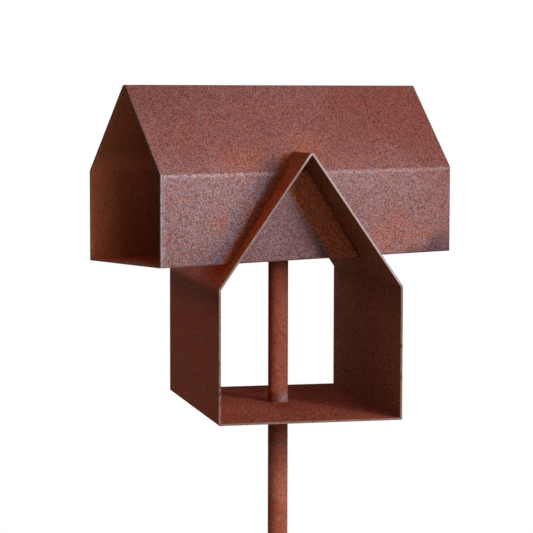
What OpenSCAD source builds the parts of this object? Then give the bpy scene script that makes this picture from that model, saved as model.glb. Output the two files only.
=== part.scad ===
// Garden bird feeder of weathering steel sheet on a round pole.
// A short gabled feeding house, open front and back, stands across a longer one:
// the long house runs level and uncut through the short one's roof, turned a
// little round the pole, and the short roof is cut out to sit on it like a saddle.
//
// Row frame: +Z up, the short house faces -Y, origin at the centre of the
// pole's foot. Each house has a frame of its own: local Y along its ridge,
// local X across it, Z = 0 at its underside.

/* [Lower house] */
// Outside width across the gable
lower_w = 180; // [150:1:220]
// Length along the ridge
lower_len = 246; // [225:1:320]
// Height of the eaves above the underside
lower_eave = 129; // [90:1:180]
// How far the lower house's middle lies to the right of the pole
lower_right = 2.5; // [-8:0.5:8]
// How far the lower house's middle lies in front of the pole
lower_forward = 2; // [-8:0.5:8]

/* [Upper house] */
// Outside width across the gable
upper_w = 118; // [95:1:130]
// Length along the ridge
upper_len = 363; // [320:1:440]
// Height of the eaves above the underside
upper_eave = 86.5; // [60:0.5:110]
// Angle of the ridge, measured from the X axis
twist = 24.75; // [0:0.25:32]
// Height of the underside above the lower house's eaves
saddle_rise = 22; // [14:1:34]
// How far the upper house's middle lies to the left of the pole
upper_left = 5; // [-8:0.5:8]
// How far the upper house's middle lies in front of the pole
upper_forward = 8; // [-10:0.5:10]

/* [Sheet] */
// Thickness of the steel sheet
sheet_t = 2; // [1.5:0.1:3]
// Slope of both roofs from level
pitch = 55.2; // [50:0.1:58]
// Inside radius of the folds at ridge and eaves
fold_r = 1; // [0.5:0.1:3]
// Rounding of the bottom corners, outside
corner_r = 1; // [0.4:0.1:1.4]
// Gap between the lower roof's cut edge and the upper house
saddle_gap = 0.3; // [0.2:0.1:0.8]

/* [Pole] */
// Outside diameter of the pole
pole_d = 20; // [16:0.5:27]
// Wall of the pole's tube
pole_wall = 2; // [1.5:0.1:3]
// Height of the lower house's underside above the ground
stand_h = 1200; // [600:10:1600]
// Thickness of the disc that closes the pole's foot
foot_t = 2; // [1.5:0.1:5]
// Gap round the pole in the floor's hole
pole_gap = 0.3; // [0.2:0.1:0.6]

/* [Welds] */
// Leg of the fillets round the pole
pole_leg = 1.5; // [1:0.1:4]
// Leg of the beads along the saddle
bead = 1.4; // [1:0.1:2]

/* [Hidden] */
$fn = 96;

rust = "#8a4b3e";       // roofs and walls
dark_rust = "#5a2a1f";  // floors and linings
pole_rust = "#8e4a36";
weld_rust = "#6b3a30";

pole_r = pole_d / 2;
pole_bore_r = pole_r - pole_wall;
fillet_r = pole_r + pole_leg;             // outside radius of the fillets round the pole
fold_out = fold_r + sheet_t;              // outside radius of a fold
eave_turn = 90 - pitch;                   // how far the sheet turns at an eave
eave_tangent = fold_out * tan(eave_turn / 2);
fold_step = 6;                            // degrees between the points of a fold
upper_z = lower_eave + saddle_rise;       // upper underside above the lower one
pole_top = stand_h + upper_z;
reach = 2 * upper_len;                    // longer than anything that it cuts
cut_over = 1;                             // how far a cutter runs past each face

// Height of a house's ridge if its slopes met in a sharp edge
function ridge_of(w, eave) = eave + w / 2 * tan(pitch);

// Height at which a house's walls end and its eave folds start
function wall_top(eave) = eave - eave_tangent;

// Height of the eaves of the space inside a house
function inner_eave(eave) = eave + sheet_t * (tan(pitch) - 1 / cos(pitch));

// ---- places of the two houses ----

module at_lower() {
    translate([lower_right, -lower_forward, stand_h]) children();
}

// Local Y goes along the twisted ridge, so local +X is the front side
module at_upper() {
    translate([-upper_left, -upper_forward, stand_h + upper_z])
        rotate([0, 0, twist - 90]) children();
}

// ---- shapes shared by both houses ----

// Puts the XY plane of a shape upright across the house, its Z along the ridge
module across_house() {
    rotate([90, 0, 0]) children();
}

// Points along a fold, counter-clockwise about its centre
function fold_arc(centre, r, from, turn) =
    let (steps = ceil(turn / fold_step))
    [for (k = [0:steps])
        let (a = from + turn * k / steps) centre + r * [cos(a), sin(a)]];

// One face of the right-hand slope, from the wall up to the middle of the ridge:
// r is the radius of its folds, fold_out for the outside and fold_r for the inside
function slope_face(w, eave, r) =
    let (eave_x = w / 2 - fold_out, ridge_z = ridge_of(w, eave) - fold_out / cos(pitch))
    concat(
        fold_arc([eave_x, wall_top(eave)], r, 0, eave_turn),
        fold_arc([0, ridge_z], r, eave_turn, pitch));

function reversed(list) = [for (i = [len(list) - 1:-1:0]) list[i]];

// The right-hand slope, with the fold that turns down into the wall and its half of
// the fold along the ridge
module house_slope(w, eave, depth) {
    across_house() linear_extrude(depth, center = true)
        polygon(concat(
            slope_face(w, eave, fold_out),
            reversed(slope_face(w, eave, fold_r))));
}

// The right-hand wall, rounded along its foot, up to where the eave fold starts
module house_wall(w, eave, depth) {
    inner_x = w / 2 - sheet_t;
    round_x = w / 2 - corner_r;
    across_house() linear_extrude(depth, center = true)
        polygon(concat(
            [[inner_x, wall_top(eave)], [inner_x, 0]],
            fold_arc([round_x, corner_r], corner_r, -90, 90),
            [[w / 2, wall_top(eave)]]));
}

// The floor between the two walls
module house_floor(w, depth) {
    translate([-w / 2 + sheet_t, -depth / 2, 0])
        cube([w - 2 * sheet_t, depth, sheet_t]);
}

// The solid outline of a house, sharp at its corners and grown by g all round
module house_solid(w, eave, depth, g) {
    side = w / 2 + g;
    shoulder = eave + g * (1 / cos(pitch) - tan(pitch));
    top = ridge_of(w, eave) + g / cos(pitch);
    across_house() linear_extrude(depth, center = true)
        polygon([[-side, -g], [side, -g], [side, shoulder], [0, top], [-side, shoulder]]);
}

// ---- pole: one tube from the ground through the lower floor to the upper one, in
// three lengths: up to the fillet under the lower floor, with it, and above it ----

// Turns an outline of [radius, height] points round the pole
module round_pole(from_z, outline) {
    translate([0, 0, from_z]) rotate_extrude() polygon(outline);
}

module pole_tube(from_z, to_z) {
    h = to_z - from_z;
    translate([0, 0, from_z]) difference() {
        cylinder(h = h, r = pole_r);
        translate([0, 0, -cut_over]) cylinder(h = h + 2 * cut_over, r = pole_bore_r);
    }
}

module pole_foot() {
    color(pole_rust) cylinder(h = foot_t, r = pole_r);
}

module pole() {
    color(pole_rust) pole_tube(foot_t, stand_h - pole_leg);
}

// The tube's length inside the fillet under the lower floor, and the fillet
module pole_collar() {
    color(weld_rust) round_pole(stand_h - pole_leg, [
        [pole_bore_r, 0], [pole_r, 0], [fillet_r, pole_leg], [pole_bore_r, pole_leg]]);
}

module pole_top() {
    color(pole_rust) pole_tube(stand_h, pole_top);
}

module pole_floor_weld() {
    color(weld_rust) round_pole(stand_h + sheet_t, [
        [pole_r, 0], [fillet_r, 0], [pole_r, pole_leg]]);
}

module pole_top_weld() {
    color(weld_rust) round_pole(pole_top - pole_leg, [
        [pole_r, 0], [fillet_r, pole_leg], [pole_r, pole_leg]]);
}

// ---- lower house ----

module lower_floor() {
    color(dark_rust) difference() {
        at_lower() house_floor(lower_w, lower_len);
        translate([0, 0, stand_h - cut_over])
            cylinder(h = sheet_t + 2 * cut_over, r = pole_r + pole_gap);
    }
}

module lower_left_wall() {
    color(rust) at_lower() mirror([1, 0, 0]) house_wall(lower_w, lower_eave, lower_len);
}

module lower_right_wall() {
    color(rust) at_lower() house_wall(lower_w, lower_eave, lower_len);
}

// Cuts the saddle for the upper house out of a slope
module saddle_cut() {
    difference() {
        children();
        at_upper() house_solid(upper_w, upper_eave, reach, saddle_gap);
    }
}

module lower_left_slope() {
    color(rust) saddle_cut()
        at_lower() mirror([1, 0, 0]) house_slope(lower_w, lower_eave, lower_len);
}

module lower_right_slope() {
    color(rust) saddle_cut()
        at_lower() house_slope(lower_w, lower_eave, lower_len);
}

// ---- upper house ----

module upper_floor() {
    color(dark_rust) at_upper() house_floor(upper_w, upper_len);
}

module upper_front_wall() {
    color(rust) at_upper() house_wall(upper_w, upper_eave, upper_len);
}

module upper_rear_wall() {
    color(rust) at_upper() mirror([1, 0, 0]) house_wall(upper_w, upper_eave, upper_len);
}

module upper_front_slope() {
    color(rust) at_upper() house_slope(upper_w, upper_eave, upper_len);
}

module upper_rear_slope() {
    color(rust) at_upper() mirror([1, 0, 0]) house_slope(upper_w, upper_eave, upper_len);
}

// ---- saddle welds: beads in the corner between the lower roof's inside
// and the upper house, one each in front, behind and under both ends ----

// What lies within a bead's leg of the lower roof's inside and of the upper house
module saddle_bead() {
    inner_w = lower_w - 2 * sheet_t;
    difference() {
        intersection() {
            at_lower() house_solid(inner_w, inner_eave(lower_eave), lower_len, 0);
            at_upper() house_solid(upper_w, upper_eave, reach, bead);
        }
        at_lower() house_solid(inner_w, inner_eave(lower_eave), reach, -bead);
        at_upper() house_solid(upper_w, upper_eave, reach, 0);
        for (side = [0, 1])
            at_lower() mirror([side, 0, 0]) house_slope(lower_w, lower_eave, reach);
    }
}

// The space on the right-hand side of the upper house, above its underside, in its
// own frame; what it takes of the inside holds no bead
module beside_upper() {
    across_house() linear_extrude(reach, center = true)
        polygon([[upper_w / 2, 0], [reach, 0], [reach, reach], [0, reach], [0, upper_eave]]);
}

module front_saddle_weld() {
    color(weld_rust) intersection() {
        saddle_bead();
        at_upper() beside_upper();
    }
}

module rear_saddle_weld() {
    color(weld_rust) intersection() {
        saddle_bead();
        at_upper() mirror([1, 0, 0]) beside_upper();
    }
}

module left_saddle_weld() {
    color(weld_rust) intersection() {
        saddle_bead();
        translate([-reach, -reach / 2, pole_top - reach]) cube(reach);
    }
}

module right_saddle_weld() {
    color(weld_rust) intersection() {
        saddle_bead();
        translate([0, -reach / 2, pole_top - reach]) cube(reach);
    }
}

pole_foot();
pole();
pole_collar();
pole_top();
pole_floor_weld();
pole_top_weld();
lower_floor();
lower_left_wall();
lower_right_wall();
lower_left_slope();
lower_right_slope();
upper_floor();
upper_front_wall();
upper_rear_wall();
upper_front_slope();
upper_rear_slope();
front_saddle_weld();
rear_saddle_weld();
left_saddle_weld();
right_saddle_weld();
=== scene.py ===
import math

import bmesh
import bpy
from bpy.props import FloatProperty, FloatVectorProperty, PointerProperty
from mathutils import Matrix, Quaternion, Vector


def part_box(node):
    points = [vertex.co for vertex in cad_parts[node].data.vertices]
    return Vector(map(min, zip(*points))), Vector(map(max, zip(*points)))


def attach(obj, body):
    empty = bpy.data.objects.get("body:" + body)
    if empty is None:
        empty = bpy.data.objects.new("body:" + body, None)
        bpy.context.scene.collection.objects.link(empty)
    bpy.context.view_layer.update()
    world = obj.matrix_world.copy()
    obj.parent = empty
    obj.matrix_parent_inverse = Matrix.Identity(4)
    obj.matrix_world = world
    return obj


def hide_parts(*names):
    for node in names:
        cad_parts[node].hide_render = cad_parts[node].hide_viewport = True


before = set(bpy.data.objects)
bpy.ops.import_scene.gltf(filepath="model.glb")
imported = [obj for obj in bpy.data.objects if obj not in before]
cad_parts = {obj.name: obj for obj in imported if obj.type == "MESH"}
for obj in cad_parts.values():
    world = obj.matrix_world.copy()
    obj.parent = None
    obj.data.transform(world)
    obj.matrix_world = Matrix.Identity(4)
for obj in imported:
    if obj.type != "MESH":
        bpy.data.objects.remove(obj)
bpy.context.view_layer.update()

bl_info = {
    "name": "Rusty Bird Feeder",
    "version": (1, 0, 0),
    "blender": (4, 5, 0),
    "location": "View3D > Sidebar > Bird Feeder",
    "description": "Gives the gabled steel bird feeder its rust skin, weld beads and studio stage",
    "category": "Material",
}

MM = 0.001


# ---- shader arithmetic ----

class Wire:
    """One output of a shader node. Arithmetic on it adds Math nodes."""

    def __init__(self, graph, socket):
        self.graph = graph
        self.socket = socket

    def math(self, operation, *values):
        return self.graph.node("Math", {"operation": operation}, dict(enumerate(values)))

    def __add__(self, other):
        return self.math("ADD", self, other)

    def __radd__(self, other):
        return self.math("ADD", other, self)

    def __sub__(self, other):
        return self.math("SUBTRACT", self, other)

    def __rsub__(self, other):
        return self.math("SUBTRACT", other, self)

    def __mul__(self, other):
        return self.math("MULTIPLY", self, other)

    def __rmul__(self, other):
        return self.math("MULTIPLY", other, self)

    def __truediv__(self, other):
        return self.math("DIVIDE", self, other)

    def __gt__(self, other):
        return self.math("GREATER_THAN", self, other)

    def __abs__(self):
        return self.math("ABSOLUTE", self)

    def most(self, other):
        return self.math("MAXIMUM", self, other)

    def least(self, other):
        return self.math("MINIMUM", self, other)

    def sign(self):
        return self.math("SIGN", self)

    def twin(self, index):
        """Another output of the same node."""
        return Wire(self.graph, self.socket.node.outputs[index])

    def rise(self, start, end):
        """0 before start, 1 after end, and a smooth step between them."""
        return self.graph.node("MapRange", {"interpolation_type": "SMOOTHSTEP"}, {
            "Value": self, "From Min": start, "From Max": end})

    def fall(self, start, end):
        """1 before start, 0 after end, and a smooth step between them."""
        return 1 - self.rise(start, end)


class Graph:
    """A node tree, written from Python."""

    def __init__(self, tree):
        self.tree = tree
        self.tree.nodes.clear()

    def node(self, kind, settings=None, sockets=None, out=0):
        """Adds a node: its settings first, then the values and links of its sockets."""
        made = self.tree.nodes.new("ShaderNode" + kind)
        for name, value in (settings or {}).items():
            setattr(made, name, value)
        for name, value in (sockets or {}).items():
            if isinstance(value, Wire):
                self.tree.links.new(value.socket, made.inputs[name])
            else:
                made.inputs[name].default_value = value
        return Wire(self, made.outputs[out]) if made.outputs else None

    def mix(self, a, b, factor):
        """Colour a where factor is 0, colour b where it is 1."""
        return self.node("Mix", {"data_type": "RGBA"}, {
            "Factor": factor, 6: opaque(a), 7: opaque(b)}, out=2)

    def vector(self, operation, a, b, c=(0, 0, 0), out=0):
        return self.node("VectorMath", {"operation": operation}, {0: a, 1: b, 2: c}, out)

    def shade(self, colour, factor):
        """A colour made lighter or darker by a factor."""
        return self.node("VectorMath", {"operation": "SCALE"}, {0: colour, "Scale": factor})

    def tinted(self, colour, tint, amount):
        """A colour times a tint, as far as the amount says."""
        return self.mix(colour, self.vector("MULTIPLY", colour, tint), amount)

    def dot(self, a, b):
        return self.vector("DOT_PRODUCT", a, tuple(b), out=1)

    def place(self):
        """Position on the object, in the row frame, in metres."""
        return self.node("TexCoord", out=3)

    def facing(self):
        """The surface's own direction, in the row frame."""
        return self.node("TexCoord", out=1)

    def noise(self, at, size, detail=2.0, roughness=0.5):
        """Soft clouds, with features of about that size in metres."""
        return self.node("TexNoise", None, {
            "Vector": at, "Scale": 1 / size, "Detail": detail, "Roughness": roughness})

    def cells(self, at, size):
        """Irregular cells of that size: the distance from a cell's middle, in cells, and
        three random values of the cell, as a colour."""
        distance = self.node("TexVoronoi", None, {"Vector": at, "Scale": 1 / size})
        return distance, distance.twin(1)

    def channel(self, colour, index):
        return self.node("SeparateColor", None, {"Color": colour}, out=index)


def opaque(colour):
    return colour if isinstance(colour, Wire) else (*tuple(colour)[:3], 1.0)


def new_material(name):
    material = bpy.data.materials.new(name)
    material.use_nodes = True
    return material, Graph(material.node_tree)


# ---- places, read from the frame ----

class House:
    """Where one house stands: the wall on its front or right side gives its directions,
    along the ridge and across it. Lengths are in metres."""

    def __init__(self, floor, side_wall, slope):
        low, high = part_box(floor)
        self.centre = (low + high) / 2
        wall_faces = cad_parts[side_wall].data.polygons
        outer = [f for f in wall_faces if f.normal.dot(f.center - self.centre) > 0]
        self.across = max(outer, key=lambda face: face.area).normal.copy()
        self.along = Vector((-self.across.y, self.across.x, 0))
        self.sheet = high.z - low.z
        self.length = self.reach(side_wall, self.along)
        self.width = self.reach(floor, self.across) + 2 * self.sheet
        self.bottom = low.z
        self.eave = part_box(side_wall)[1].z
        self.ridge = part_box(slope)[1].z

    def reach(self, node, direction):
        """How far a node reaches along a direction."""
        spans = [v.co.dot(direction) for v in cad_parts[node].data.vertices]
        return max(spans) - min(spans)

    def below_slope(self, g, place, side):
        """How far a point lies below the roof slope on side 1 or -1, in metres."""
        across = g.dot(g.vector("SUBTRACT", place, tuple(self.centre)), self.across)
        steep = (self.ridge - self.eave) / (self.width / 2)
        return self.ridge - across * (side * steep) - g.dot(place, (0, 0, 1))


UPPER = House("upper_floor", "upper_front_wall", "upper_front_slope")
LOWER = House("lower_floor", "lower_right_wall", "lower_right_slope")
POLE_LOW, POLE_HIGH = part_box("pole_top")
POLE_R = (POLE_HIGH.x - POLE_LOW.x) / 2


# ---- settings ----

def colour(name, text, value, high=1.0):
    return FloatVectorProperty(name=name, description=text, default=value, size=3,
                               min=0, max=high, subtype="COLOR")


def length(name, text, value, low=0.0, high=10.0):
    return FloatProperty(name=name, description=text, default=value, min=low, max=high,
                         unit="LENGTH", precision=4)


def angle(name, text, degrees):
    return FloatProperty(name=name, description=text, default=math.radians(degrees),
                         subtype="ANGLE")


def share(name, text, value, high=1.0):
    return FloatProperty(name=name, description=text, default=value, min=0, max=high)


class RustSettings(bpy.types.PropertyGroup):
    """Colours and sizes of the rust skin."""
    brick: colour("Brick", "Brick-red rust of the weathered slopes", (0.263, 0.099, 0.083))
    # Grey-lilac colour of the weathered walls: partly a film on the rust, partly a painted sheen
    # of the light.
    lilac_film_and_sheen: colour("Haze", "Grey-lilac film on the weathered walls", (0.31, 0.173, 0.174))
    ember: colour("Ember", "Redder rust below the ridge", (0.235, 0.07, 0.053))
    bloom: colour("Bloom", "Orange rust where water stays", (0.4, 0.135, 0.085))
    # Pale colour: worn rust at the open ends and a painted highlight along the eave fold; it also
    # pales the top of the long walls and the middle of the long house's inside.
    rim: colour("Rim", "Worn, pale folds and edges", (0.5, 0.33, 0.34))
    chill: colour("Chill", "Blue-grey film along an open end", (0.3, 0.24, 0.28))
    stain: colour("Stain", "Dark purple stains", (0.13, 0.07, 0.078))
    # Orange-brown rust; made darker, it is also painted shadow of the short roof on the long wall.
    run_off_and_shadow: colour("Run-off", "Orange-brown rust along the welds", (0.4, 0.079, 0.018))
    # Gold-brown that stands in for orange bounce light in the shadow inside the gable: painted
    # light.
    gold: colour("Gold", "Orange-brown rust under the gable", (0.64, 0.19, 0.085))
    # Dark red-brown rust; on the short house's left side it is partly painted shade.
    shaded: colour("Shaded", "Red-brown rust on the side out of the rain",
                   (0.283, 0.051, 0.0155))
    lining: colour("Lining", "Red-brown rust inside the short house", (0.305, 0.095, 0.038))
    tunnel: colour("Tunnel", "Orange-brown rust inside the long house", (0.72, 0.215, 0.095))
    plate: colour("Plate", "Dark red rust on the floors", (0.355, 0.091, 0.058))
    drift: colour("Drift", "Orange rust on the floor of the long house", (0.72, 0.17, 0.06))
    tube: colour("Tube", "Red rust on the pole", (0.43, 0.136, 0.087))
    sooty: colour("Sooty", "Dark brown rust", (0.11, 0.036, 0.022))
    bare: colour("Bare", "Grey-purple worn steel", (0.41, 0.25, 0.24))
    fleck: colour("Fleck", "Pale grains", (0.68, 0.42, 0.3))
    cut: colour("Cut edge", "Pale cut edges of the gable", (0.56, 0.44, 0.44))
    tan: colour("Tan edge", "Duller cut edges of the walls", (0.28, 0.17, 0.135))
    cool: colour("Cool tint", "Tint of the greyer mottling", (0.96, 1.03, 1.12), 2.0)
    warm: colour("Warm tint", "Tint of the more orange mottling", (1.06, 0.96, 0.87), 2.0)
    ruddy: colour("Ruddy spots", "Tint of the small red spots", (1.07, 0.94, 0.88), 2.0)
    slate: colour("Slate spots", "Tint of the small blue-grey spots", (0.94, 1.0, 1.05), 2.0)
    grain: length("Grain", "Size of the rust grains", 0.0008)
    spots: length("Spots", "Size of the coloured spots", 0.0026)
    mottle: length("Mottle", "Size of the mottling", 0.006)
    cloud: length("Cloud", "Size of the soft clouds in the patina", 0.05)
    contrast: share("Contrast", "How far the grains differ in lightness", 0.34, 1)
    roughness: share("Roughness", "Roughness of the rust", 0.85)
    relief: length("Relief", "Height of the rust grains", 0.0002)


class WeldSettings(bpy.types.PropertyGroup):
    """Ripples of the weld beads."""
    pitch: length("Pitch", "From one ripple of a bead to the next", 0.0016)
    ripple: length("Ripple", "Depth of the ripples", 0.0002)
    mesh_step: length("Mesh step", "From one cut across a straight bead to the next", 0.0005)


class StageSettings(bpy.types.PropertyGroup):
    """Floor, lights and camera."""
    floor_colour: colour("Floor", "Colour of the pale floor", (0.86, 0.86, 0.86))
    floor_radius: length("Floor radius", "How far the floor reaches from the pole", 3.0)
    key_turn: angle("Key turn", "How far the key lights stand to the right of the front", 27.5)
    key_low: angle("Low key height", "How far the lower key light stands up", 9)
    key_high: angle("High key height", "How far the upper key light stands up", 18)
    key_spread: angle("Key spread", "Angle that each key light fills, for soft shadows", 9.5)
    key_level: share("Key level", "Light of both key lights on a surface that faces them",
                     0.46, 4)
    side_turn: angle("Side turn", "How far the side light stands to the right of the front", 47)
    side_height: angle("Side height", "How far the side light stands up", 13)
    side_spread: angle("Side spread", "Angle that the side light fills", 24)
    side_level: share("Side level", "Light of the side light on a surface that faces it", 0.2, 4)
    top_turn: angle("Top turn", "How far the top light stands to the right of the front", 25)
    top_height: angle("Top height", "How far the top light stands up", 42)
    top_spread: angle("Top spread", "Angle that the top light fills", 38)
    top_level: share("Top level", "Light of the top light on a surface that faces it", 0.23, 4)
    back_turn: angle("Back turn", "How far the back light stands to the right of the front", 180)
    back_height: angle("Back height", "How far the back light stands up", 14)
    back_spread: angle("Back spread", "Angle that the back light fills", 25)
    back_level: share("Back level", "Light of the back light on a surface that faces it", 0.3, 4)
    fill_level: share("Fill level", "Soft light from all round", 0.11, 4)
    lens: FloatProperty(name="Lens", description="Focal length of the camera",
                        default=143.8, unit="CAMERA")
    camera_turn: angle("Camera turn", "How far the camera stands to the left of the front", 13.34)
    camera_height: angle("Camera height", "How far the camera looks down", 4.794)
    camera_roll: angle("Camera roll", "How far the camera leans to its left", 0.12)
    camera_distance: length("Camera distance", "From the camera to the point it looks at", 2.129)
    aim_left: length("Aim left", "From the lower house's middle to the point looked at", 0.01504)
    aim_up: length("Aim up", "From the lower house's underside to the point looked at", 0.1395)


def settings():
    return bpy.context.scene.bird_feeder


class FeederSettings(bpy.types.PropertyGroup):
    """Everything that can be set."""
    rust: PointerProperty(type=RustSettings)
    weld: PointerProperty(type=WeldSettings)
    stage: PointerProperty(type=StageSettings)


# ---- rust ----

class Spot:
    """Where a point lies on a house, as wires. Along and across run from -1 to 1, wall
    from 0 at the underside to 1 at the eave, slope from 0 at the eave to 1 at the ridge.
    Outside is 1 on an outer face, end_face is 1 on a cut edge, and ragged is noise."""

    def __init__(self, g, house):
        self.place = g.place()
        facing = g.facing()
        from_centre = g.vector("SUBTRACT", self.place, tuple(house.centre))
        self.up = g.dot(self.place, (0, 0, 1))
        self.along = g.dot(from_centre, house.along) / (house.length / 2)
        self.across = g.dot(from_centre, house.across) / (house.width / 2)
        self.wall = (self.up - house.bottom) / (house.eave - house.bottom)
        self.slope = (self.up - house.eave) / (house.ridge - house.eave)
        out = g.dot(facing, house.across) * self.across.sign() + 0.6 * g.dot(facing, (0, 0, 1))
        self.outside = out > 0
        self.end_face = abs(g.dot(facing, house.along)) > 0.8
        self.ragged = (g.noise(self.place, 0.02, detail=4.0, roughness=0.6) - 0.5) * 2.4

    def patch(self, along, height, half_length, half_height):
        """A soft, ragged patch round a place along the house. On a wall, height counts
        from 0 to 1, and on a slope it counts on from 1 to 2."""
        level = self.wall.least(1) + self.slope.most(0)
        x = (self.along - along) / half_length
        y = (level - height) / half_height
        return (x * x + y * y + self.ragged).fall(0.1, 1.3)


GRAIN_SWING = 2.6             # lightness from the darkest to the palest grain, times contrast
GREY_SHARE = (0.7, 0.7, 0.7)  # how much a grain's swing turns towards grey
DARKEST = (0.003, 0.002, 0.001)


def rust_skin(g, at, ground, rust, grain=1.0, flecks=0.3, tints=1.0):
    """Grains, coloured spots and pale flecks over a ground colour. Returns colour and
    height."""
    distance, lot = g.cells(at, rust.grain)
    spread = (g.channel(lot, 0) - 0.5) * GRAIN_SWING
    grey = g.vector("MULTIPLY_ADD", g.channel(ground, 1), GREY_SHARE, ground)
    speck = g.shade(grey, spread * (rust.contrast * grain))
    mottle = g.noise(at, rust.mottle, detail=2.0, roughness=0.5)
    skin = g.tinted(ground, g.mix(rust.cool, rust.warm, mottle.rise(0.3, 0.7)), tints)
    _, spot = g.cells(at, rust.spots)
    chance = g.channel(spot, 0)
    skin = g.tinted(skin, tuple(rust.ruddy), chance.rise(0.8, 0.86) * tints)
    skin = g.tinted(skin, tuple(rust.slate), chance.fall(0.14, 0.2) * tints)
    skin = g.vector("MAXIMUM", g.vector("ADD", skin, speck), DARKEST)
    pale = g.channel(lot, 1).rise(0.965, 0.975) * distance.fall(0.25, 0.6)
    skin = g.mix(skin, rust.fleck, pale * flecks)
    return skin, 1 - distance


def finish_surface(g, base, height, rust, gloss=0.02):
    """The shader of a rusty surface, with its grains as relief."""
    bump = g.node("Bump", None, {
        "Strength": 0.6, "Distance": rust.relief, "Height": height})
    surface = g.node("BsdfPrincipled", None, {
        "Base Color": base, "Roughness": rust.roughness + (height - 0.8) * 0.1,
        "Normal": bump, "Specular IOR Level": gloss})
    g.node("OutputMaterial", None, {"Surface": surface})


def cut_edge(g, spot, rust, bright):
    """Colour of a sheet's cut edge: tan with brown patches, and pale where it is bright."""
    patchy = g.noise(spot.place, 0.007, detail=3.0, roughness=0.7)
    fine = g.noise(spot.place, 0.0016, detail=1.0)
    tan = g.mix(rust.sooty, g.shade(rust.tan, 0.5 + fine), patchy.rise(0.3, 0.45))
    pale = g.shade(rust.cut, 0.75 + fine * 0.5)
    return g.mix(tan, pale, (bright + (patchy - 0.5) * 0.5).rise(0.0, 1.0))


# Patches on the long house: place along it, height, half length, half height, strength, tone
PATCHES = (
    (-0.42, 1.12, 0.26, 0.2, 0.35, "bloom"),
    (0.02, 1.3, 0.16, 0.16, 0.4, "bloom"),
    (0.3, 1.1, 0.3, 0.1, 0.25, "bloom"),
    (0.62, 0.28, 0.28, 0.3, 0.4, "bloom"),
    (-0.42, 0.62, 0.06, 0.2, 0.45, "bloom"),
    (-0.6, 0.42, 0.05, 0.12, 0.4, "bloom"),
    (0.72, 1.75, 0.5, 0.45, 0.7, "ember"),
    (0.95, 1.3, 0.25, 0.5, 0.5, "ember"),
    (0.98, 0.06, 0.2, 0.2, 0.7, "stain"),
    (0.86, -0.02, 0.3, 0.12, 0.7, "stain"),
    (-0.55, 0.05, 0.3, 0.2, 0.2, "stain"),
    (-0.3, 0.8, 0.12, 0.4, 0.2, "stain"),
)


def weathered_outside(g, spot, house, rust):
    """Rain-washed rust: brick-red slopes, grey-lilac walls that are partly a painted sheen,
    worn open ends, a painted highlight along the eave fold, and painted shade along the
    bottom bend.
    """
    cloud = g.noise(spot.place, rust.cloud, detail=3.0, roughness=0.6)
    drift = (cloud - 0.5) * 1.2
    under_fold = (house.eave - spot.up) / (4 * MM)
    on_wall = under_fold.rise(-0.4, 0.2)
    far_out = abs(spot.along).rise(0.1, 0.9)
    slope = g.mix(rust.brick, rust.lilac_film_and_sheen,
                  (spot.slope.fall(-0.05, 0.4) * 0.35 + drift * 0.6).most(0))
    slope = g.shade(slope, 1 - spot.slope.rise(0.3, 1.0) * (0.04 + far_out * 0.16))
    wall = g.mix(rust.lilac_film_and_sheen, rust.brick,
                 (drift * 0.8 + 0.1 + spot.along.rise(0.3, 1.0) * 0.35).most(0).least(1))
    wall = g.mix(wall, rust.rim, spot.wall.rise(0.4, 1.05) * 0.18)
    wall = g.shade(wall, 1 - spot.wall.fall(0.0, 0.75) * spot.along.fall(-0.3, 0.5) * 0.13)
    weather = g.mix(slope, wall, on_wall)
    for along, height, half_length, half_height, amount, tone in PATCHES:
        weather = g.mix(weather, getattr(rust, tone),
                        spot.patch(along, height, half_length, half_height) * amount)
    # A pale line along the eave fold, stronger towards the left end: painted highlight on the
    # bend.
    fold = abs(under_fold - 0.3).fall(0.1, 0.7)
    weather = g.mix(weather, rust.rim, fold * (0.6 - spot.along.rise(-0.6, 1.0) * 0.3))
    from_end = (1 + spot.along) * (house.length / 2) / MM
    weather = g.mix(weather, rust.chill, from_end.fall(1.0, 9.0) * on_wall * 0.7)
    worn_end = from_end.fall(0.8, 2.4) * on_wall
    weather = g.mix(weather, rust.rim, worn_end * 0.5)
    # The lowest 2.5 mm of the walls darkened by up to a quarter: painted shade on the bend at the
    # bottom.
    bottom_bend_shade = ((spot.up - house.bottom) / MM).fall(0.5, 2.5)
    return g.shade(weather, 1 - bottom_bend_shade * 0.25)


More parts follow.
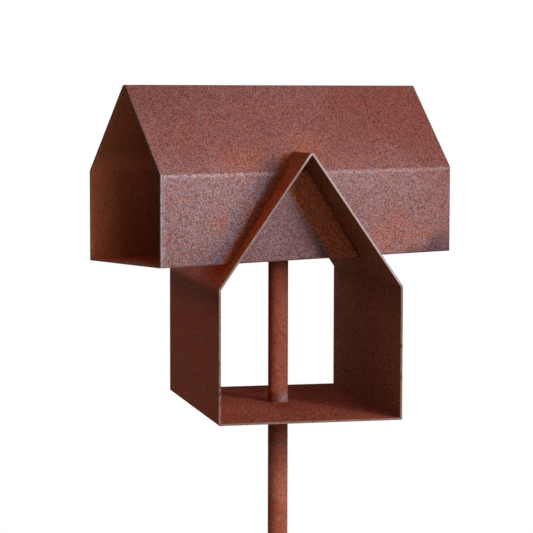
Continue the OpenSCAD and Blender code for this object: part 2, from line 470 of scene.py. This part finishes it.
def beside_saddle(g, spot, ground, rust):
    """The colour of the long house round the short one. Outside the short roof, a darker, bluer
    zone and a dark orange-brown band are painted shadow of that roof. Inside the gable the wall is
    painted darker as shade under the roof, and its right side takes a gold-brown that stands in
    for orange bounce light in the shadow, with painted shade in the crease and painted glints.
    Left and right are in millimetres below the short roof's slopes, so they are less than 0
    outside it."""
    left = LOWER.below_slope(g, spot.place, -1) / MM
    right = LOWER.below_slope(g, spot.place, 1) / MM
    under = left.least(right).rise(-1.0, 1.0)
    beside = (1 - under) * right.rise(0.0, 8.0) * (left + right).rise(0.0, 16.0)
    # Darker and bluer 18 to 66 mm outside the short roof's left slope: painted edge of that roof's
    # shadow.
    saddle_shadow_edge = (left + spot.ragged * 8).rise(-66.0, -18.0) * beside
    ground = g.tinted(ground, (0.72, 0.84, 0.95), saddle_shadow_edge)
    # A dark orange-brown band 11 to 22 mm outside the left slope: painted shadow of the short
    # roof.
    saddle_shadow_band = (left + spot.ragged * 2).rise(-22.0, -11.0) * beside
    ground = g.mix(ground, g.shade(rust.run_off_and_shadow, 0.62), saddle_shadow_band * 0.85)
    # The wall inside the gable, darker and cooler: painted shade under the short roof.
    gable = g.vector("MULTIPLY", ground, (0.87, 0.92, 0.97))
    # The right part of the wall inside the gable, up to about 43 mm below the right slope and
    # fading out by 61 mm, turns gold-brown: painted orange bounce light in that slope's shadow.
    gable_bounce_zone = (right + spot.ragged * 3).fall(43.0, 61.0)
    # Darker within 2 to 14 mm below the slopes: painted shade in the crease where the short roof
    # meets the wall.
    bounce_and_crease_shade = g.mix(rust.gold, rust.sooty, left.least(right).fall(2.0, 14.0) * 0.5)
    gable = g.mix(gable, bounce_and_crease_shade, gable_bounce_zone)
    _, lot = g.cells(spot.place, rust.grain * 1.3)
    glint = g.channel(lot, 2).rise(0.87, 0.91) * gable_bounce_zone
    gable = g.mix(gable, g.shade(rust.gold, 1.8), glint * 0.6)
    return g.mix(ground, gable, under)


def upper_rust(name):
    """The long house: weathered outside, orange-brown inside."""
    rust = settings().rust
    material, g = new_material(name)
    spot = Spot(g, UPPER)
    outside = weathered_outside(g, spot, UPPER, rust)
    outside = beside_saddle(g, spot, outside, rust)
    cloud = g.noise(spot.place, rust.cloud, detail=4.0, roughness=0.6)
    tunnel = g.mix(rust.tunnel, rust.lining, cloud.rise(0.45, 0.75) * 0.15)
    # The inner roof of the long house darkened by up to 40 %: painted shade.
    tunnel = g.shade(tunnel, 1 - spot.slope.rise(0.0, 0.3) * 0.4)
    tunnel = g.mix(tunnel, rust.rim, abs(spot.along).fall(0.5, 0.75) * 0.45)
    ground = g.mix(tunnel, outside, spot.outside)
    skin, height = rust_skin(g, spot.place, ground, rust, grain=0.45 + spot.outside * 0.55,
                             tints=0.3 + spot.outside * 0.7)
    skin = g.mix(skin, g.shade(cut_edge(g, spot, rust, 0.0), 0.6), spot.end_face)
    finish_surface(g, skin, height, rust)
    return material


def lower_rust(name):
    """The short house: red-brown, lighter weathered rust on its right and darker rust on its left,
    partly painted shade; painted shade under the eave and inside towards the roof; pale cut
    edges.
    """
    rust = settings().rust
    material, g = new_material(name)
    spot = Spot(g, LOWER)
    cloud = g.noise(spot.place, rust.cloud, detail=4.0, roughness=0.6)
    washed = g.mix(rust.brick, rust.lilac_film_and_sheen, cloud.rise(0.4, 0.7) * 0.5)
    shaded = g.mix(rust.shaded, rust.sooty, cloud.rise(0.5, 0.8) * 0.3)
    # The top of the outer walls darkened by up to half: painted shade under the eave.
    eave_shade_mask = spot.wall.rise(0.72, 0.95) * spot.slope.fall(-0.02, 0.04)
    shaded = g.shade(shaded, 1 - eave_shade_mask * 0.5)
    streaked = g.shade(rust.run_off_and_shadow, 1.35)
    shaded = g.mix(shaded, streaked, spot.slope.rise(-0.05, 0.1))
    # Darker rust on the left side and lighter weathered rust on the right: the darker left is
    # partly painted shade.
    lit_side = spot.across.rise(-0.3, 0.3)
    shell = g.mix(shaded, washed, lit_side)
    lining = g.mix(rust.lining, rust.sooty, cloud.rise(0.45, 0.75) * 0.3)
    # Inner walls darker towards the roof, inner slopes darkest: painted shade under the roof.
    lining = g.shade(lining, 1 - spot.wall.rise(0.7, 1.1) * 0.25)
    ground = g.mix(lining, shell, spot.outside)
    grain = 1.4 - spot.outside * lit_side * 0.4
    skin, height = rust_skin(g, spot.place, ground, rust, grain=grain, flecks=0.7,
                             tints=0.5)
    bright = spot.slope.rise(-0.1, 0.1) * (0.3 + spot.across.rise(-0.16, 0.0) * 0.6)
    skin = g.mix(skin, cut_edge(g, spot, rust, bright), spot.end_face)
    finish_surface(g, skin, height, rust)
    return material


def floor_rust(name, tone, house):
    """A floor plate, with a worn edge where it is cut."""
    rust = settings().rust
    material, g = new_material(name)
    spot = Spot(g, house)
    cloud = g.noise(spot.place, rust.cloud, detail=4.0, roughness=0.62)
    ground = g.mix(tone, rust.sooty, cloud.rise(0.45, 0.75) * 0.25)
    skin, height = rust_skin(g, spot.place, ground, rust, grain=1.5, tints=0.5)
    skin = g.mix(skin, cut_edge(g, spot, rust, 0.0), spot.end_face)
    finish_surface(g, skin, height, rust, gloss=0.0)
    return material


WORN_UP = (7.0, 14.0)      # how far up the pole's base is worn, in millimetres
# Depths in millimetres over which the painted shadow of the floor on the pole fades out.
FLOOR_SHADOW_SPAN = (20.0, 90.0)  # how far down the pole is dark


def pole_rust(name):
    """The pole: red rust, worn where it leaves the floor, with painted shade under the floor and
    at its head.
    """
    rust = settings().rust
    material, g = new_material(name)
    place = g.place()
    up = g.dot(place, (0, 0, 1))
    above = (up - (LOWER.bottom + LOWER.sheet)) / MM
    below = (LOWER.bottom - up) / MM
    cloud = g.noise(place, rust.cloud * 0.6, detail=4.0, roughness=0.62)
    ground = g.mix(rust.tube, rust.shaded, cloud.rise(0.4, 0.7) * 0.5)
    # Darker from the floor's underside down, fading out between 20 and 90 mm: painted shadow of
    # the floor.
    ground = g.shade(ground, 1 - below.rise(-1.0, 0.0) * below.fall(*FLOOR_SHADOW_SPAN) * 0.58)
    # The top 26 mm turns dark brown: painted shade under the long house.
    from_head = (up - POLE_HIGH.z) / MM
    ground = g.mix(ground, rust.sooty, from_head.rise(-26.0, -2.0) * 0.65)
    ragged = (g.noise(place, 0.008, detail=3.0, roughness=0.6) - 0.5) * 14
    worn = (above + ragged).fall(*WORN_UP) * above.rise(0.0, 1.0)
    front_right = g.dot(place, (0.8, -0.6, 0)) / POLE_R
    ground = g.mix(ground, rust.sooty, worn * 0.6)
    ground = g.mix(ground, rust.bare, worn * front_right.rise(0.2, 0.8) * 0.8)
    skin, height = rust_skin(g, place, ground, rust, grain=0.65)
    finish_surface(g, skin, height, rust, gloss=0.0)
    return material


def weld_rust(name):
    """Weld beads: dark, with patches of orange rust and of worn grey-purple steel."""
    rust = settings().rust
    material, g = new_material(name)
    place = g.place()
    patchy = g.noise(place, 0.006, detail=3.0, roughness=0.6)
    ground = g.mix(rust.shaded, rust.bloom, patchy.rise(0.4, 0.65) * 0.45)
    ground = g.mix(ground, rust.bare, patchy.fall(0.3, 0.45) * 0.3)
    skin, height = rust_skin(g, place, ground, rust, grain=0.5)
    finish_surface(g, skin, height, rust)
    return material


SAME_POINT = MM / 100  # points nearer than this are joined


def rippled_bead(node, material, run, axis=None):
    """A weld bead like the CAD's, with a ripple for each pool of the weld. run gives how
    far along the bead a point lies, in metres. A straight bead has an axis, and is cut
    across it into short steps."""
    weld = settings().weld
    mesh = bpy.data.meshes.new(node + "_ripples")
    shape = bmesh.new()
    shape.from_mesh(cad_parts[node].data)
    bmesh.ops.remove_doubles(shape, verts=shape.verts[:], dist=SAME_POINT / 10)
    if axis is None:
        bmesh.ops.subdivide_edges(shape, edges=shape.edges[:], cuts=1, use_grid_fill=True)
    else:
        reach = [vertex.co.dot(axis) for vertex in shape.verts]
        for step in range(1, int((max(reach) - min(reach)) / weld.mesh_step)):
            parts = shape.verts[:] + shape.edges[:] + shape.faces[:]
            cut = axis * (min(reach) + step * weld.mesh_step)
            bmesh.ops.bisect_plane(shape, geom=parts, dist=SAME_POINT, plane_co=cut,
                                   plane_no=axis)
    bmesh.ops.triangulate(shape, faces=shape.faces[:])
    bmesh.ops.remove_doubles(shape, verts=shape.verts[:], dist=SAME_POINT)
    shape.normal_update()
    for vertex in shape.verts:
        turns = run(vertex.co) / weld.pitch
        wave = 0.5 - 0.5 * math.cos(2 * math.pi * turns + math.sin(turns * 0.7))
        in_bore = math.hypot(vertex.co.x, vertex.co.y) < POLE_R - MM
        if not in_bore:
            vertex.co -= vertex.normal * wave * weld.ripple
    shape.to_mesh(mesh)
    shape.free()
    for face in mesh.polygons:
        face.use_smooth = True
    mesh.materials.append(material)
    bead = bpy.data.objects.new(node + "_ripples", mesh)
    bpy.context.scene.collection.objects.link(bead)
    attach(bead, "root")
    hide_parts(node)


def dress(material, *nodes):
    """Gives CAD nodes a material in place of their plain one."""
    for node in nodes:
        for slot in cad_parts[node].material_slots:
            slot.material = material


# ---- operators ----

class FEEDER_OT_upper_house(bpy.types.Operator):
    """Rust on the long upper house"""
    bl_idname = "feeder.upper_house"
    bl_label = "Upper House"

    def execute(self, context):
        dress(upper_rust("upper_house_rust"), "upper_front_wall", "upper_rear_wall",
              "upper_front_slope", "upper_rear_slope")
        dress(floor_rust("upper_floor_rust", settings().rust.drift, UPPER), "upper_floor")
        return {"FINISHED"}


class FEEDER_OT_lower_house(bpy.types.Operator):
    """Rust on the short lower house"""
    bl_idname = "feeder.lower_house"
    bl_label = "Lower House"

    def execute(self, context):
        dress(lower_rust("lower_house_rust"), "lower_left_wall", "lower_right_wall",
              "lower_left_slope", "lower_right_slope")
        dress(floor_rust("lower_floor_rust", settings().rust.plate, LOWER), "lower_floor")
        return {"FINISHED"}


class FEEDER_OT_pole(bpy.types.Operator):
    """Rust on the pole"""
    bl_idname = "feeder.pole"
    bl_label = "Pole"

    def execute(self, context):
        dress(pole_rust("pole_rust"), "pole_foot", "pole", "pole_top")
        return {"FINISHED"}


class FEEDER_OT_welds(bpy.types.Operator):
    """Rippled weld beads round the pole and along the saddle"""
    bl_idname = "feeder.welds"
    bl_label = "Welds"

    def execute(self, context):
        steel = weld_rust("weld_rust")
        roof_rise = LOWER.ridge - LOWER.eave
        rise = math.hypot(roof_rise, LOWER.width / 2) / roof_rise
        for node in ("pole_collar", "pole_floor_weld", "pole_top_weld"):
            rippled_bead(node, steel, lambda p: math.atan2(p.y, p.x) * POLE_R)
        for node in ("front_saddle_weld", "rear_saddle_weld"):
            rippled_bead(node, steel, lambda p: p.z * rise, Vector((0, 0, 1)))
        for node in ("left_saddle_weld", "right_saddle_weld"):
            rippled_bead(node, steel, lambda p: p.dot(LOWER.along), LOWER.along)
        return {"FINISHED"}


# ---- stage ----

def make_floor(stage):
    """A round pale floor that fades to the white background at its rim. It lies a hair
    below the pole's foot."""
    rings = 48
    spokes = 96
    points = [(0.0, 0.0, 0.0)]
    for ring in range(1, rings + 1):
        r = stage.floor_radius * ring / rings
        points += [(r * math.cos(2 * math.pi * k / spokes),
                    r * math.sin(2 * math.pi * k / spokes), 0.0) for k in range(spokes)]
    faces = [(0, 1 + k, 1 + (k + 1) % spokes) for k in range(spokes)]
    for ring in range(1, rings):
        inner = 1 + (ring - 1) * spokes
        outer = inner + spokes
        faces += [(inner + k, outer + k, outer + (k + 1) % spokes, inner + (k + 1) % spokes)
                  for k in range(spokes)]
    mesh = bpy.data.meshes.new("studio_floor")
    mesh.from_pydata(points, [], faces)
    floor = bpy.data.objects.new("studio_floor", mesh)
    bpy.context.scene.collection.objects.link(floor)
    floor.location.z = -0.0005
    mesh.materials.append(floor_paint(stage))


def direct_view(g):
    """1 where the camera sees a thing itself, in a mirror or through glass."""
    path = [g.node("LightPath", out=index) for index in (0, 3, 6)]
    return path[0].most(path[1]).most(path[2])


def floor_paint(stage):
    """Pale paint. Seen directly it is as bright as the background, apart from shadows."""
    material, g = new_material("studio_floor_paint")
    place = g.place()
    radius = g.vector("LENGTH", place, (0, 0, 0), out=1)
    rim = radius.rise(0.35 * stage.floor_radius, 0.95 * stage.floor_radius)
    lit = stage.fill_level + sum(level * math.sin(height)
                                 for _, _, height, _, level in lamps(stage))
    paint = g.node("BsdfDiffuse", None, {"Color": opaque(stage.floor_colour)})
    lift = g.node("Emission", None, {
        "Color": (1, 1, 1, 1),
        "Strength": direct_view(g) * (1 - lit * stage.floor_colour[0])})
    seen = g.node("AddShader", None, {0: paint, 1: lift})
    white = g.node("Emission", None, {"Color": (1, 1, 1, 1), "Strength": 1.0})
    surface = g.node("MixShader", None, {0: rim * direct_view(g), 1: seen, 2: white})
    g.node("OutputMaterial", None, {"Surface": surface})
    return material


def make_world(stage):
    """Plain soft light all round, white where it is seen directly."""
    world = bpy.data.worlds.new("studio_air")
    bpy.context.scene.world = world
    world.use_nodes = True
    g = Graph(world.node_tree)
    strength = direct_view(g) * (1 - stage.fill_level) + stage.fill_level
    air = g.node("Background", None, {"Color": (1, 1, 1, 1), "Strength": strength})
    g.node("OutputWorld", None, {"Surface": air})


def lamps(stage):
    """The studio's lamps: name, turn, height, spread and level of each."""
    key = stage.key_turn, stage.key_spread, stage.key_level / 2
    return (
        ("key_light_low", key[0], stage.key_low, key[1], key[2]),
        ("key_light_high", key[0], stage.key_high, key[1], key[2]),
        ("side_light", stage.side_turn, stage.side_height, stage.side_spread, stage.side_level),
        ("top_light", stage.top_turn, stage.top_height, stage.top_spread, stage.top_level),
        ("back_light", stage.back_turn, stage.back_height, stage.back_spread, stage.back_level))


def make_lamps(stage):
    for name, turn, height, spread, level in lamps(stage):
        lamp = bpy.data.lights.new(name, "SUN")
        lamp.energy = level * math.pi
        lamp.angle = spread
        stand = bpy.data.objects.new(name, lamp)
        bpy.context.scene.collection.objects.link(stand)
        toward = Vector((math.sin(turn) * math.cos(height),
                         -math.cos(turn) * math.cos(height), math.sin(height)))
        stand.rotation_euler = toward.to_track_quat("Z", "Y").to_euler()
        stand.location = LOWER.centre + toward * 2


def make_camera(stage):
    lens = bpy.data.cameras.new("camera")
    lens.lens = stage.lens
    lens.sensor_width = 36
    camera = bpy.data.objects.new("camera", lens)
    bpy.context.scene.collection.objects.link(camera)
    back = Vector((-math.sin(stage.camera_turn) * math.cos(stage.camera_height),
                   -math.cos(stage.camera_turn) * math.cos(stage.camera_height),
                   math.sin(stage.camera_height)))
    aim = Vector((LOWER.centre.x - stage.aim_left, LOWER.centre.y,
                  LOWER.bottom + stage.aim_up))
    leaned = back.to_track_quat("Z", "Y") @ Quaternion((0, 0, 1), stage.camera_roll)
    camera.rotation_euler = leaned.to_euler()
    camera.location = aim + back * stage.camera_distance
    bpy.context.scene.camera = camera


class FEEDER_OT_stage(bpy.types.Operator):
    """Pale floor, soft light, white background and camera"""
    bl_idname = "feeder.stage"
    bl_label = "Stage"

    def execute(self, context):
        stage = settings().stage
        make_floor(stage)
        make_world(stage)
        make_lamps(stage)
        make_camera(stage)
        context.scene.view_settings.view_transform = "Standard"
        return {"FINISHED"}


class VIEW3D_PT_bird_feeder(bpy.types.Panel):
    """The steps and settings, in the sidebar"""
    bl_label = "Bird Feeder"
    bl_space_type = "VIEW_3D"
    bl_region_type = "UI"
    bl_category = "Bird Feeder"

    def draw(self, context):
        for step in STEPS:
            self.layout.operator(step.bl_idname)
        feeder = context.scene.bird_feeder
        for group in (feeder.rust, feeder.weld, feeder.stage):
            column = self.layout.column()
            for name in group.__annotations__:
                column.prop(group, name)


STEPS = (FEEDER_OT_upper_house, FEEDER_OT_lower_house, FEEDER_OT_pole, FEEDER_OT_welds,
         FEEDER_OT_stage)
CLASSES = (RustSettings, WeldSettings, StageSettings, FeederSettings, *STEPS,
           VIEW3D_PT_bird_feeder)


def register():
    for cls in CLASSES:
        bpy.utils.register_class(cls)
    bpy.types.Scene.bird_feeder = PointerProperty(type=FeederSettings)


def unregister():
    del bpy.types.Scene.bird_feeder
    for cls in reversed(CLASSES):
        bpy.utils.unregister_class(cls)


def main():
    register()
    bpy.ops.feeder.upper_house()
    bpy.ops.feeder.lower_house()
    bpy.ops.feeder.pole()
    bpy.ops.feeder.welds()
    bpy.ops.feeder.stage()


if __name__ == "__main__":
    main()
